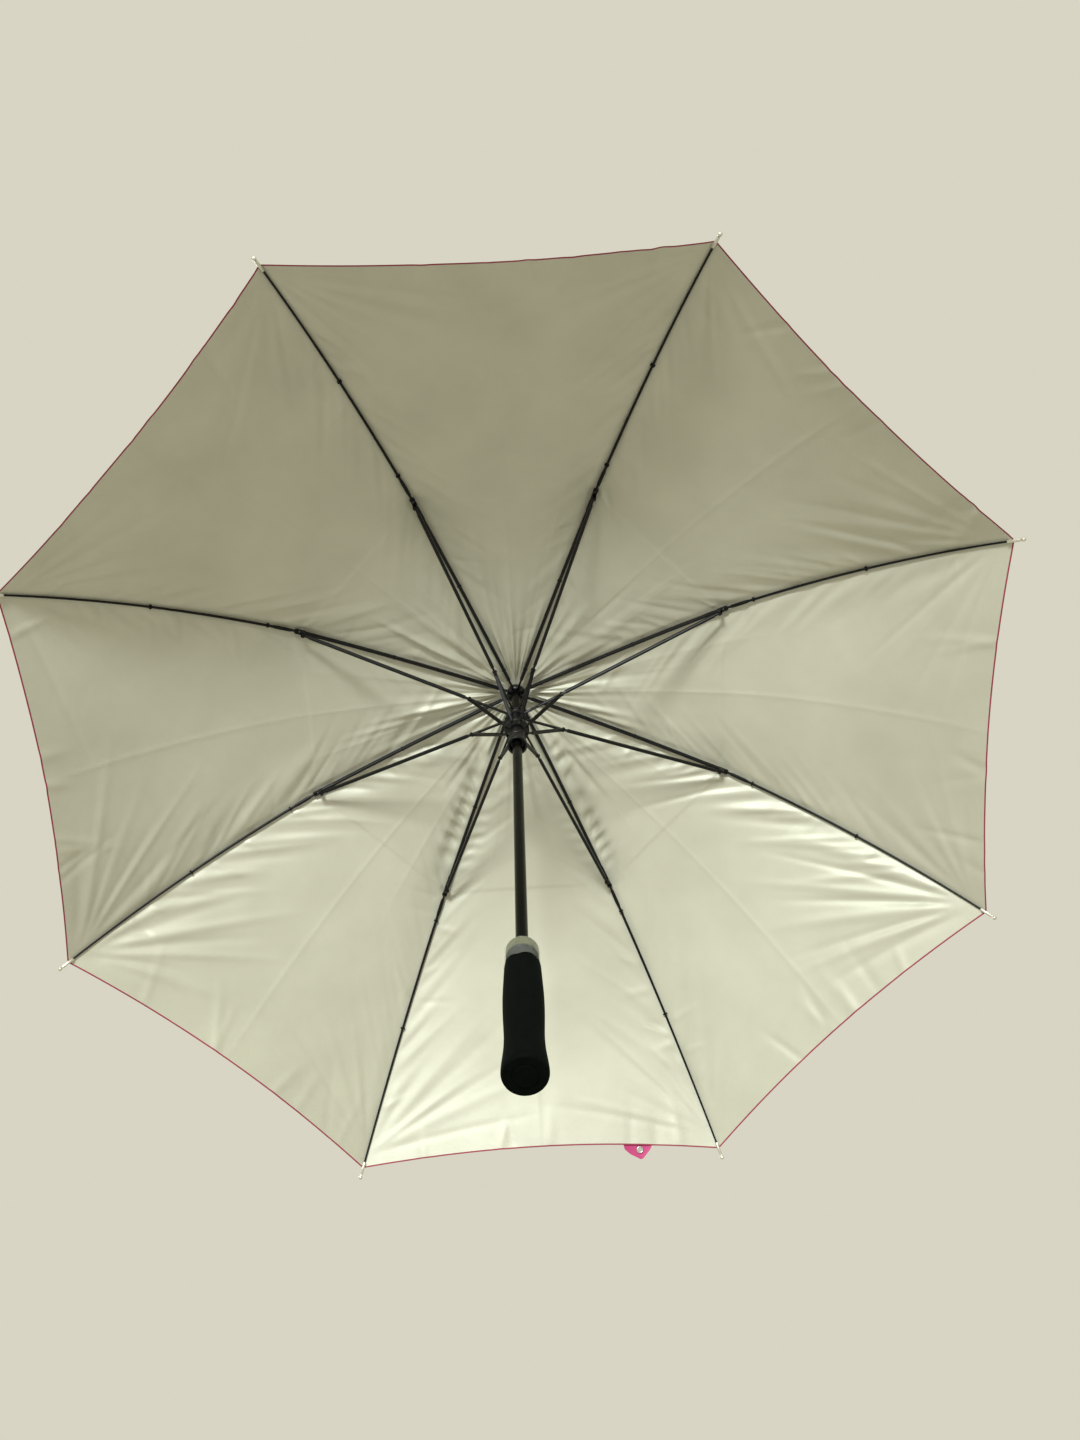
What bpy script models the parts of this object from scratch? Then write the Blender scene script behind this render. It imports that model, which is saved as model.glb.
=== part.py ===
"""Auto-opening golf umbrella, open: eight two-part ribs, stretchers, short opening links, a sliding runner.

Metres, +Z up the shaft towards the ferrule, origin at the centre of the flat butt of the handle.
Each rib unit is built once in its own radial plane and then repeated round the shaft.
"""

import math

import bmesh
import bpy
import numpy as np
from mathutils import Matrix, Vector

# ---- driving dimensions ----
RIBS = 8
FIRST_RIB_DEG = -112.5
CROWN_Z = 0.890
CANOPY_R = 0.640
CORNER_DROP = 0.2467
PIVOT_R = 0.010
ARM = 0.2925
OPEN_DEG = 81.25
OUTER_BOW = 0.0225
INNER_BOW = 0.0060
HINGE_UP = 0.0075
HINGE_OUT = 0.0100
SHAFT_R = 0.0060
SHAFT_BORE_R = 0.0052
RIB_R = 0.0024
OUTER_RIB_R = 0.0019
TIP_R = 0.0021
TIP_LENGTH = 0.013
BLADE = 0.0026
EYE_R = 0.0022
WIRE_R = 0.0006
WIRE_BEND = 0.00010
SLOT = 0.0033
HUB_R = 0.0125
RIVET_R = 0.0011
STRETCHER_R = 0.0023
STRETCHER_ROOT_R = 0.0027
LINK_AT = 0.057
LINK_R = 0.0015
SLIDER_PIVOT_R = 0.0146
SLIDER_R = 0.0162
ROOT_WIDE = 0.0034
FORK_GAP = 0.0040
FORK_BAR = 0.0009
SLIDER_DROP = 0.048
SLEEVE_LENGTH = 0.1035
SLEEVE_R = 0.0098
INNER_TUBE_R = 0.0075
GRIP_TOP = 0.199
COLLAR_LOW = 0.183
CLOTH = 0.0008
CLOTH_UP = 0.0038
CLOTH_HOLE_R = 0.0068
HEM_DIP = 0.020
PANEL_GAP = 0.0002
STRAP_HALF = 0.021
STRAP_OUT = 0.024
STRAP_UP = 0.110
RUN = 0.00004
HOLE_SIDES = 8
OUTER_STEPS = 8

PITCH = math.radians(360 / RIBS)
HALF = PITCH / 2
OPEN = math.radians(OPEN_DEG)
JOINT = Vector((PIVOT_R + ARM * math.sin(OPEN), 0, -ARM * math.cos(OPEN)))
RUNNER = Vector((PIVOT_R, 0, -2 * ARM * math.cos(OPEN)))
HINGE = JOINT + Vector((HINGE_OUT, 0, HINGE_UP))
CORNER = Vector((CANOPY_R, 0, -CORNER_DROP))
TOWARDS_JOINT = Vector((math.sin(OPEN), 0, math.cos(OPEN)))
LINK_TOP = RUNNER + LINK_AT * TOWARDS_JOINT
LINK_LOW = Vector((SLIDER_PIVOT_R, 0, RUNNER.z - SLIDER_DROP))
RUNNER_Z = CROWN_Z + RUNNER.z


# ---- materials ----
def material(name, colour, rough, metal=0.0):
    m = bpy.data.materials.new(name)
    m.use_nodes = True
    b = m.node_tree.nodes["Principled BSDF"]
    b.inputs["Base Color"].default_value = (*colour, 1)
    b.inputs["Roughness"].default_value = rough
    b.inputs["Metallic"].default_value = metal
    return m


# ---- mesh helpers ----
def mesh_object(name, points, faces):
    mesh = bpy.data.meshes.new(name)
    mesh.from_pydata([tuple(p) for p in points], [], faces)
    work = bmesh.new()
    work.from_mesh(mesh)
    bmesh.ops.recalc_face_normals(work, faces=work.faces)
    if work.calc_volume(signed=True) < 0:
        bmesh.ops.reverse_faces(work, faces=work.faces)
    work.to_mesh(mesh)
    work.free()
    obj = bpy.data.objects.new(name, mesh)
    bpy.context.scene.collection.objects.link(obj)
    return obj


def lathe(name, profile, steps=32):
    """A closed (r, z) loop turned about Z."""
    n = len(profile)
    points = []
    for i in range(steps):
        a = 2 * math.pi * i / steps
        points += [(r * math.cos(a), r * math.sin(a), z) for r, z in profile]
    faces = []
    for i in range(steps):
        k = (i + 1) % steps
        for j in range(n):
            m = (j + 1) % n
            faces.append((i * n + j, k * n + j, k * n + m, i * n + m))
    return mesh_object(name, points, faces)


def plug(name, profile, steps=32):
    """An open (r, z) run turned about Z, with a flat cap at each end."""
    n = len(profile)
    points = []
    for i in range(steps):
        a = 2 * math.pi * i / steps
        points += [(r * math.cos(a), r * math.sin(a), z) for r, z in profile]
    faces = []
    for i in range(steps):
        k = (i + 1) % steps
        for j in range(n - 1):
            faces.append((i * n + j, k * n + j, k * n + j + 1, i * n + j + 1))
    faces.append([i * n for i in range(steps)])
    faces.append([i * n + n - 1 for i in range(steps)])
    return mesh_object(name, points, faces)


def rod(name, path, radii, sides=8, flat=1.0):
    """A round bar along a path in the XZ plane; flat squeezes it across Y."""
    points = []
    for i, p in enumerate(path):
        ahead = path[min(i + 1, len(path) - 1)] - path[max(i - 1, 0)]
        ahead.normalize()
        up = Vector((-ahead.z, 0, ahead.x))
        for j in range(sides):
            a = 2 * math.pi * (j + 0.5) / sides
            side = Vector((0, flat * math.cos(a), 0))
            points.append(p + radii[i] * (side + math.sin(a) * up))
    faces = []
    for i in range(len(path) - 1):
        for j in range(sides):
            k = (j + 1) % sides
            faces.append((i * sides + j, i * sides + k, (i + 1) * sides + k, (i + 1) * sides + j))
    faces.append(list(range(sides)))
    faces.append([(len(path) - 1) * sides + j for j in range(sides)])
    return mesh_object(name, points, faces)


def box(name, low, high):
    x, y, z = zip(low, high)
    points = [(x[i], y[j], z[k]) for i in (0, 1) for j in (0, 1) for k in (0, 1)]
    faces = [(0, 1, 3, 2), (4, 6, 7, 5), (0, 4, 5, 1), (2, 3, 7, 6), (0, 2, 6, 4), (1, 5, 7, 3)]
    return mesh_object(name, points, faces)


def barrel(name, centre, radius, width, sides=8):
    """A cylinder lying along Y."""
    points = []
    for y in (-width / 2, width / 2):
        for j in range(sides):
            a = 2 * math.pi * (j + 0.5) / sides
            points.append(centre + Vector((radius * math.cos(a), y, radius * math.sin(a))))
    faces = [list(range(sides)), list(range(sides, 2 * sides))]
    for j in range(sides):
        k = (j + 1) % sides
        faces.append((j, k, sides + k, sides + j))
    return mesh_object(name, points, faces)


def drill(obj, centre, pin_r):
    """A hole along Y whose flats clear a pin of this radius."""
    wide = (pin_r + RUN) / math.cos(math.pi / HOLE_SIDES)
    return combine(obj, barrel("hole", centre, wide, 0.010, HOLE_SIDES), "DIFFERENCE")


def bar(name, start, end, height, width):
    """A flat blade from start to end in the XZ plane, width across Y."""
    along = (end - start).normalized()
    up = Vector((-along.z, 0, along.x)) * height / 2
    across = Vector((0, width / 2, 0))
    ring = [up + across, up - across, -up - across, -up + across]
    points = [p + q for p in (start, end) for q in ring]
    faces = [(0, 1, 2, 3), (4, 5, 6, 7)]
    for j in range(4):
        k = (j + 1) % 4
        faces.append((j, k, 4 + k, 4 + j))
    return mesh_object(name, points, faces)


def combine(base, other, operation):
    """Boolean applied at once; the other object is used up."""
    m = base.modifiers.new("Cut", "BOOLEAN")
    m.operation = operation
    m.solver = "EXACT"
    m.object = other
    bpy.context.view_layer.update()
    graph = bpy.context.evaluated_depsgraph_get()
    made = bpy.data.meshes.new_from_object(base.evaluated_get(graph))
    base.modifiers.clear()
    base.data = made
    bpy.data.objects.remove(other)
    return base


def union(name, pieces):
    base = pieces[0]
    for other in pieces[1:]:
        combine(base, other, "UNION")
    base.name = name
    return base


def finish(obj, name, mat, pivot=Vector((0, 0, 0)), smooth_deg=40):
    """Names the piece and moves its origin to its pivot, leaving it where it is."""
    obj.name = name
    obj.data.name = name
    obj.data.materials.clear()
    obj.data.materials.append(mat)
    obj.data.transform(Matrix.Translation(-pivot))
    obj.location = pivot
    limit = math.cos(math.radians(smooth_deg))
    work = bmesh.new()
    work.from_mesh(obj.data)
    for f in work.faces:
        f.smooth = True
    for e in work.edges:
        if len(e.link_faces) == 2:
            e.smooth = e.link_faces[0].normal.dot(e.link_faces[1].normal) > limit
    work.to_mesh(obj.data)
    work.free()
    return obj


def repeat(source, name, pivot, count=RIBS):
    """Copies one unit's piece to every rib's plane, its origin on its own pivot."""
    for k in range(count):
        a = math.radians(FIRST_RIB_DEG) + k * PITCH
        turn = Matrix.Rotation(a, 4, "Z")
        obj = source if k == 0 else source.copy()
        if k:
            obj.data = source.data.copy()
            bpy.context.scene.collection.objects.link(obj)
        obj.name = f"{name}_{k + 1}"
        obj.matrix_world = Matrix.Translation(turn @ pivot + Vector((0, 0, CROWN_Z))) @ turn


# ---- the rib line ----
def bowed(start, end, bow, steps):
    chord = end - start
    up = Vector((-chord.z, 0, chord.x)).normalized()
    path = []
    for i in range(steps + 1):
        t = i / steps
        path.append(start + t * chord + 4 * bow * t * (1 - t) * up)
    return path


def rib_line(s):
    """(r, z) of the rib's centre line, s from 0 at the crown to 1 at the canopy corner."""
    inner = HINGE.x / CORNER.x
    if s <= inner:
        path = (Vector((PIVOT_R, 0, 0)), HINGE, INNER_BOW, s / inner)
    else:
        path = (HINGE, CORNER, OUTER_BOW, (s - inner) / (1 - inner))
    start, end, bow, t = path
    chord = end - start
    up = Vector((-chord.z, 0, chord.x)).normalized()
    p = start + t * chord + 4 * bow * t * (1 - t) * up
    return p.x, p.z


def cloth_line(s):
    """(r, z) of the cloth's underside over a rib."""
    r, z = rib_line(s)
    over_rib = z + CLOTH_UP
    near = max(0.0, 1 - s / 0.075)
    r = max(r, CLOTH_HOLE_R) if s > 0 else CLOTH_HOLE_R
    level = 0.0079
    blend = near * near * (3 - 2 * near)
    if r < HUB_R + 0.002:
        blend = 1.0
    return r, over_rib + (level - over_rib) * blend


def cloth_point(s, v, gap=PANEL_GAP):
    """A point of one rib's wedge of cloth; v from -1 to 1 between the two panel centre lines."""
    hem = 1 - HEM_DIP * (1 - (1 - abs(v)) ** 2)
    r, z = cloth_line(s * hem)
    reach = 1 - gap / (r * math.sin(HALF))
    w = abs(v) * reach
    x = r + w * (r * math.cos(HALF) ** 2 - r)
    y = w * r * math.cos(HALF) * math.sin(HALF)
    return Vector((x, math.copysign(y, v), z))


def cloth_wedge():
    knee = HINGE.x / CORNER.x
    rows = [0.0, 0.014, 0.03, 0.05, 0.075]
    rows += [0.075 + (knee - 0.075) * (i + 1) / 4 for i in range(4)]
    rows += [knee + (1 - knee) * (i + 1) / OUTER_STEPS for i in range(OUTER_STEPS)]
    cols = np.linspace(-1, 1, 7)
    points = []
    for lift in (0.0, CLOTH):
        for s in rows:
            points += [cloth_point(s, float(v)) + Vector((0, 0, lift)) for v in cols]
    n, m = len(rows), len(cols)
    faces = []
    for layer in (0, 1):
        base = layer * n * m
        for i in range(n - 1):
            for j in range(m - 1):
                a = base + i * m + j
                faces.append((a, a + 1, a + m + 1, a + m))
    for i in range(n - 1):
        for j in (0, m - 1):
            a = i * m + j
            faces.append((a, a + m, a + m + n * m, a + n * m))
    for j in range(m - 1):
        for i in (0, n - 1):
            a = i * m + j
            faces.append((a, a + 1, a + 1 + n * m, a + n * m))
    return mesh_object("cloth", points, faces)


# ---- one rib unit ----
def inner_rib():
    """Blade and eye at the crown, a bar, and the mid-rib connector with its two rivets."""
    crown = Vector((PIVOT_R, 0, 0))
    line = bowed(crown, HINGE, INNER_BOW, 20)
    neck = line[1]
    path = [line[1], line[4], line[7], line[10], line[13], line[16], line[19]]
    body = rod("bar", path, [RIB_R] * len(path))
    blade = bar("blade", crown, neck + (neck - crown) * 0.2, 0.0040, BLADE)
    eye = barrel("eye", crown, EYE_R, BLADE)
    reach = (line[20] - line[18]).normalized()
    socket = rod("socket", [HINGE - 0.030 * reach, HINGE - 0.006 * reach], [0.0029] * 2)
    ears = []
    for side in (-1, 1):
        shift = Vector((0, side * 0.0022, 0))
        cheek = barrel("cheek", HINGE + shift, 0.0028, 0.0014)
        plate = bar("plate", HINGE - 0.010 * reach + shift, HINGE + shift, 0.0050, 0.0014)
        low = barrel("low", JOINT + shift, 0.0026, 0.0014)
        top = HINGE - 0.009 * reach + shift
        web = bar("web", top, JOINT + shift, 0.0050, 0.0014)
        ears += [cheek, plate, low, web]
    rivets = [barrel("rivet", p, RIVET_R, 0.0056) for p in (HINGE, JOINT)]
    whole = union("rib", [body, blade, eye, socket, *ears, *rivets])
    return drill(whole, crown, WIRE_R + WIRE_BEND)


def outer_rib():
    """Thin rod from the connector to the corner, with an eye at one end and a ball tip at the other."""
    line = bowed(HINGE, CORNER, OUTER_BOW, OUTER_STEPS)
    reach = (line[1] - line[0]).normalized()
    eye = barrel("eye", HINGE, 0.0024, BLADE)
    blade = bar("blade", HINGE, HINGE + 0.0085 * reach, 0.0036, BLADE)
    path = [HINGE + 0.0055 * reach, *line[1:]]
    shank = rod("shank", path, [OUTER_RIB_R] * len(path))
    out = (line[-1] - line[-2]).normalized()
    steps = [(-0.010, TIP_R), (TIP_LENGTH - 0.0055, TIP_R)]
    ball = [(TIP_LENGTH - 0.0035, 0.0027), (TIP_LENGTH - 0.0012, 0.0022), (TIP_LENGTH, 0.0008)]
    tip = rod("tip", [CORNER + d * out for d, _ in steps + ball], [r for _, r in steps + ball])
    whole = union("outer", [shank, blade, eye, tip])
    return drill(whole, HINGE, RIVET_R)


def stretcher():
    """Rod from the mid-rib rivet to the runner, stout below the link's rivet, with an eye at each end."""
    start, end = RUNNER, JOINT
    along = TOWARDS_JOINT
    eye = barrel("eye", start, EYE_R, BLADE)
    blade = bar("blade", start, start + 0.010 * along, 0.0040, BLADE)
    flat = bar("flat", start + 0.0075 * along, LINK_TOP + 0.008 * along, 2 * STRETCHER_ROOT_R, ROOT_WIDE)
    ends = [LINK_TOP + 0.006 * along, end - 0.0085 * along]
    shank = rod("shank", ends, [STRETCHER_R] * 2)
    head = bar("head", end - 0.010 * along, end, 0.0036, BLADE)
    top = barrel("top", end, 0.0022, BLADE)
    pin = barrel("pin", LINK_TOP, RIVET_R, FORK_GAP + 2 * FORK_BAR + 0.0006)
    whole = union("stretcher", [shank, flat, blade, eye, head, top, pin])
    drill(whole, start, WIRE_R + WIRE_BEND)
    return drill(whole, end, RIVET_R)


def link():
    """Two flat bars that straddle the stretcher, joined below into a tongue that sits in the slider's slot."""
    down = (LINK_LOW - LINK_TOP).normalized()
    length = (LINK_LOW - LINK_TOP).length
    pieces = []
    for side in (-1, 1):
        shift = Vector((0, side * (FORK_GAP + FORK_BAR) / 2, 0))
        pieces.append(barrel("ear", LINK_TOP + shift, 0.0020, FORK_BAR))
        pieces.append(bar("side", LINK_TOP + shift, LINK_TOP + (length - 0.010) * down + shift, 0.0024, FORK_BAR))
    wide = FORK_GAP + 2 * FORK_BAR
    cross = bar("cross", LINK_TOP + (length - 0.012) * down, LINK_TOP + (length - 0.0095) * down, 0.0026, wide)
    tongue = bar("tongue", LINK_TOP + (length - 0.011) * down, LINK_LOW, 0.0030, 0.0024)
    foot = barrel("foot", LINK_LOW, 0.0018, 0.0024)
    whole = union("link", [cross, *pieces, tongue, foot])
    return drill(whole, LINK_TOP, RIVET_R)


# ---- pieces round the shaft ----
def slotted(obj, inner, low, high):
    """Cuts one open slot per rib from radius inner outwards."""
    for k in range(RIBS):
        a = math.radians(FIRST_RIB_DEG) + k * PITCH
        cutter = box("slot", (inner, -SLOT / 2, low), (0.020, SLOT / 2, high))
        cutter.data.transform(Matrix.Rotation(a, 4, "Z"))
        combine(obj, cutter, "DIFFERENCE")
    return obj


def wire(name, z, radius=PIVOT_R, thick=WIRE_R):
    ring = []
    for j in range(6):
        a = 2 * math.pi * (j + 0.5) / 6
        ring.append((radius + thick * math.cos(a), z + thick * math.sin(a)))
    return lathe(name, ring, 48)


def groove(obj, z):
    """The slit the wire lies in, open outwards."""
    deep = PIVOT_R - WIRE_R - 0.0002
    half = WIRE_R + 0.0002
    loop = [(deep, z - half), (0.02, z - half), (0.02, z + half), (deep, z + half)]
    return combine(obj, lathe("groove", loop, 48), "DIFFERENCE")


def coil(name, radius, thick, low, high, turns, sides=5, per_turn=12):
    points = []
    count = turns * per_turn
    for i in range(count + 1):
        a = 2 * math.pi * i / per_turn
        z = low + thick + (high - low - 2 * thick) * i / count
        for j in range(sides):
            b = 2 * math.pi * j / sides
            r = radius + thick * math.cos(b)
            points.append((r * math.cos(a), r * math.sin(a), z + thick * math.sin(b)))
    faces = []
    for i in range(count):
        for j in range(sides):
            k = (j + 1) % sides
            faces.append((i * sides + j, i * sides + k, (i + 1) * sides + k, (i + 1) * sides + j))
    faces.append(list(range(sides)))
    faces.append([count * sides + j for j in range(sides)])
    return mesh_object(name, points, faces)


def crown():
    z = CROWN_Z
    bore = SHAFT_R + 0.0002
    outer = [(bore, z - 0.006), (0.0105, z - 0.006), (HUB_R, z - 0.004), (HUB_R, z + 0.0055)]
    outer += [(HUB_R - 0.0015, z + 0.0075), (bore, z + 0.0075)]
    hub = slotted(lathe("hub", outer), 0.0075, z - 0.010, z + 0.0038)
    return groove(hub, z)


def runner():
    z = RUNNER_Z
    bore = SHAFT_R + RUN
    low = z - SLEEVE_LENGTH
    outer = [(bore, z + 0.0065), (0.0115, z + 0.0065), (HUB_R, z + 0.0050), (HUB_R, z - 0.0045)]
    outer += [(0.0095, z - 0.0060), (INNER_TUBE_R, z - 0.0060), (INNER_TUBE_R, z - 0.060)]
    outer += [(SLEEVE_R, z - 0.0615), (SLEEVE_R, z - 0.074), (0.0108, z - 0.075), (0.0108, z - 0.078)]
    outer += [(SLEEVE_R, z - 0.079), (SLEEVE_R, low + 0.014), (0.0125, low + 0.008)]
    outer += [(0.0128, low + 0.001), (0.0122, low)]
    catch = [(0.0100, low), (0.0100, low + 0.0015), (0.0110, low + 0.0020), (0.0110, low + 0.0075)]
    catch += [(0.0085, low + 0.0095), (bore, low + 0.0095)]
    body = slotted(lathe("body", outer + catch), 0.0075, z - 0.0042, z + 0.012)
    return groove(body, z)


def slider():
    z = RUNNER_Z - SLIDER_DROP
    bore = INNER_TUBE_R + RUN
    outer = [(bore, z + 0.005), (0.0105, z + 0.005), (SLIDER_R, z + 0.0025), (SLIDER_R, z - 0.0035)]
    outer += [(0.0105, z - 0.005), (bore, z - 0.005)]
    return slotted(lathe("ring", outer), 0.0110, z - 0.010, z + 0.010)


def ferrule():
    z = CROWN_Z + 0.0105
    bore = SHAFT_R + 0.0002
    outer = [(bore, z), (0.0105, z), (0.0105, z + 0.004), (0.0085, z + 0.007), (0.0075, z + 0.030)]
    outer += [(0.0058, z + 0.060), (0.0050, z + 0.072), (0.0036, z + 0.0755)]
    outside = plug("spike", outer[1:])
    return combine(outside, plug("bore", [(bore, z - 0.01), (bore, z + 0.022)]), "DIFFERENCE")


def shaft():
    low, high = 0.014, CROWN_Z + 0.031
    loop = [(SHAFT_BORE_R, low), (SHAFT_R, low), (SHAFT_R, high), (SHAFT_BORE_R, high)]
    return lathe("tube", loop, 40)


def grip_foam():
    """Waisted foam: slim at the collar, a belly, a waist and a flared rounded butt."""
    outer = [(0.0150, COLLAR_LOW - 0.0006), (0.0160, 0.176), (0.0168, 0.160), (0.0177, 0.135)]
    outer += [(0.0182, 0.110), (0.0180, 0.085), (0.0173, 0.062), (0.0172, 0.048), (0.0177, 0.034)]
    outer += [(0.0187, 0.022), (0.0195, 0.012), (0.0198, 0.006), (0.0193, 0.0022), (0.0180, 0.0006)]
    inner = [(0.0110, 0.0006), (0.0110, 0.0090), (0.0093, 0.0090), (0.0093, COLLAR_LOW - 0.0006)]
    return lathe("foam", outer + inner, 36)


def core():
    """Plastic sleeve on the shaft with the collar, the button's bore and the catch's pocket."""
    bore = SHAFT_R + 0.0002
    loop = [(bore, 0.014), (0.0090, 0.014), (0.0090, COLLAR_LOW), (0.0152, COLLAR_LOW)]
    loop += [(0.0155, COLLAR_LOW + 0.003), (0.0153, GRIP_TOP - 0.004), (0.0135, GRIP_TOP), (bore, GRIP_TOP)]
    body = lathe("core", loop, 36)
    pocket = box("pocket", (-0.0034, 0.0040, COLLAR_LOW + 0.001), (0.0034, 0.0114, GRIP_TOP + 0.01))
    combine(body, pocket, "DIFFERENCE")
    hole = barrel("hole", Vector((0, 0.0157, COLLAR_LOW + 0.0078)), 0.0042, 0.0126, 20)
    return combine(body, hole, "DIFFERENCE")


def button():
    z = COLLAR_LOW + 0.0078
    stem = barrel("stem", Vector((0, 0.0145, z)), 0.0040, 0.0066, 20)
    rim = barrel("rim", Vector((0, 0.0179, z)), 0.0034, 0.0012, 20)
    return union("button", [stem, rim])


def catch():
    z = COLLAR_LOW
    blade = box("blade", (-0.0028, 0.0078, z + 0.0035), (0.0028, 0.0092, z + 0.0245))
    nose = box("nose", (-0.0022, 0.0090, z + 0.0215), (0.0022, 0.0104, z + 0.0245))
    foot = box("foot", (-0.0020, 0.0090, z + 0.0060), (0.0020, 0.0108, z + 0.0095))
    return union("catch", [blade, nose, foot])


def leaf():
    """Bowed strip that pushes the catch outwards."""
    z = COLLAR_LOW
    points = []
    steps = 10
    for i in range(steps + 1):
        t = i / steps
        y = 0.0064 + 0.0042 * t * (1 - t)
        for dy, x in ((0, -0.002), (0, 0.002), (0.00025, 0.002), (0.00025, -0.002)):
            points.append((x, y + dy, z + 0.004 + 0.011 * t))
    faces = [(0, 1, 2, 3), tuple(4 * steps + j for j in range(4))]
    for i in range(steps):
        for j in range(4):
            k = (j + 1) % 4
            faces.append((4 * i + j, 4 * i + k, 4 * i + 4 + k, 4 * i + 4 + j))
    return mesh_object("leaf", points, faces)


# ---- strap ----
STRAP_V = 0.44
STRAP_RIB = 5


def strap_frame():
    """Origin on the hem, and the directions outwards along the cloth, across it, and off its outer face."""
    here = cloth_point(1.0, STRAP_V)
    out = (here - cloth_point(0.9, STRAP_V)).normalized()
    across = cloth_point(1.0, STRAP_V + 0.05) - cloth_point(1.0, STRAP_V - 0.05)
    across = (across - across.dot(out) * out).normalized()
    face = out.cross(across)
    if face.z < 0:
        face = -face
    return here + 0.0032 * face, out, across, face


def strap():
    here, out, across, face = strap_frame()
    shape = [(-STRAP_UP, 0.012), (-0.03, STRAP_HALF), (0.004, STRAP_HALF), (STRAP_OUT, 0.0015)]
    points = []
    for lift in (0.0, CLOTH):
        for d, half in shape:
            rise = 0.0035 * (d / STRAP_UP) ** 2 if d < 0 else 0.0
            for side in (-1, 1):
                points.append(here + d * out + side * half * across + (lift + rise) * face)
    n = len(shape)
    faces = []
    for i in range(n - 1):
        a, b = 2 * i, 2 * n + 2 * i
        faces += [(a, a + 1, a + 3, a + 2), (b, b + 1, b + 3, b + 2)]
        faces += [(a, a + 2, b + 2, b), (a + 1, a + 3, b + 3, b + 1)]
    faces += [(0, 1, 2 * n + 1, 2 * n), (2 * n - 2, 2 * n - 1, 4 * n - 1, 4 * n - 2)]
    return mesh_object("strap", points, faces)


def on_strap(obj, d):
    here, out, across, face = strap_frame()
    place = Matrix((out, across, face)).transposed().to_4x4()
    if place.determinant() < 0:
        place = Matrix((out, -across, face)).transposed().to_4x4()
    place.translation = here + d * out
    obj.data.transform(place)
    return obj


def stud():
    """Press-stud: a rimmed disc on the inner face, a stem through the strap and a cap outside."""
    run = [(0.0050, -0.0024), (0.0052, -0.0005), (0.0016, -0.0004), (0.0016, CLOTH + 0.0003)]
    run += [(0.0045, CLOTH + 0.0004), (0.0042, CLOTH + 0.0016)]
    return on_strap(plug("stud", run, 24), 0.0075)


# ---- build ----
def build():
    for obj in list(bpy.data.objects):
        bpy.data.objects.remove(obj)
    steel = material("black_steel", (0.012, 0.012, 0.013), 0.32, 0.6)
    fibre = material("black_fibreglass", (0.010, 0.010, 0.011), 0.38)
    black = material("black_plastic", (0.014, 0.014, 0.015), 0.35)
    gloss = material("shaft_lacquer", (0.010, 0.010, 0.011), 0.16, 0.3)
    bright = material("bright_steel", (0.62, 0.60, 0.55), 0.3, 1.0)
    foam = material("grip_foam", (0.016, 0.016, 0.017), 0.85)
    cloth = material("canopy_cloth", (0.55, 0.53, 0.42), 0.6)
    rose = material("strap_cloth", (0.60, 0.06, 0.24), 0.6)
    zero = Vector((0, 0, 0))
    crown_pivot = Vector((PIVOT_R, 0, 0))

    units = [
        (inner_rib(), "rib", crown_pivot, steel),
        (outer_rib(), "outer_rib", HINGE, fibre),
        (stretcher(), "stretcher", JOINT, steel),
        (link(), "link", LINK_TOP, steel),
        (cloth_wedge(), "canopy", crown_pivot, cloth),
    ]
    for obj, name, pivot, mat in units:
        finish(obj, name, mat, pivot)
        repeat(obj, name, pivot)

    centre = Vector((0, 0, CROWN_Z))
    at_runner = Vector((0, 0, RUNNER_Z))
    finish(shaft(), "shaft_tube", gloss)
    finish(crown(), "crown_hub", black, centre)
    finish(wire("ring", CROWN_Z), "crown_wire", bright, centre)
    finish(runner(), "runner_body", black, at_runner)
    finish(wire("ring", RUNNER_Z), "runner_wire", bright, at_runner)
    finish(slider(), "link_slider", black, at_runner - Vector((0, 0, SLIDER_DROP)))
    spring = coil("coil", 0.0086, 0.00045, RUNNER_Z - 0.0427, RUNNER_Z - 0.0063, 8)
    finish(spring, "opening_spring", bright, at_runner)
    washer = [(SHAFT_R + 0.0002, CROWN_Z + 0.0090), (0.0150, CROWN_Z + 0.0090)]
    washer += [(0.0146, CROWN_Z + 0.0098), (SHAFT_R + 0.0002, CROWN_Z + 0.0102)]
    finish(lathe("washer", washer), "top_washer", black, centre)
    finish(ferrule(), "ferrule", black, centre)
    finish(grip_foam(), "foam_grip", foam)
    finish(core(), "grip_core", black)
    cap = plug("cap", [(0.0104, 0), (0.0108, 0.0006), (0.0108, 0.0087), (0.0095, 0.0087)], 40)
    cap = union("cap", [cap, plug("peg", [(0.0048, 0.008), (0.0048, 0.030)], 24)])
    finish(cap, "butt_cap", black)
    finish(button(), "release_button", bright)
    finish(catch(), "runner_catch", steel)
    finish(leaf(), "button_leaf", bright)
    band = combine(strap(), on_strap(plug("hole", [(0.0019, -0.01), (0.0019, 0.01)], 16), 0.0075), "DIFFERENCE")
    turn = math.radians(FIRST_RIB_DEG) + (STRAP_RIB - 1) * PITCH
    for obj, name, mat in ((band, "tie_strap", rose), (stud(), "strap_stud", bright)):
        finish(obj, name, mat, crown_pivot)
        around = Matrix.Rotation(turn, 4, "Z")
        obj.matrix_world = Matrix.Translation(around @ crown_pivot + centre - zero) @ around
    for obj in list(bpy.data.objects):
        if obj.type != "MESH":
            bpy.data.objects.remove(obj)


build()
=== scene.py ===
"""Golf umbrella, open, seen from inside: cloth, ribs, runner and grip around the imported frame."""

import math

import bmesh
import bpy
import numpy as np
from mathutils import Matrix, Vector


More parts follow.
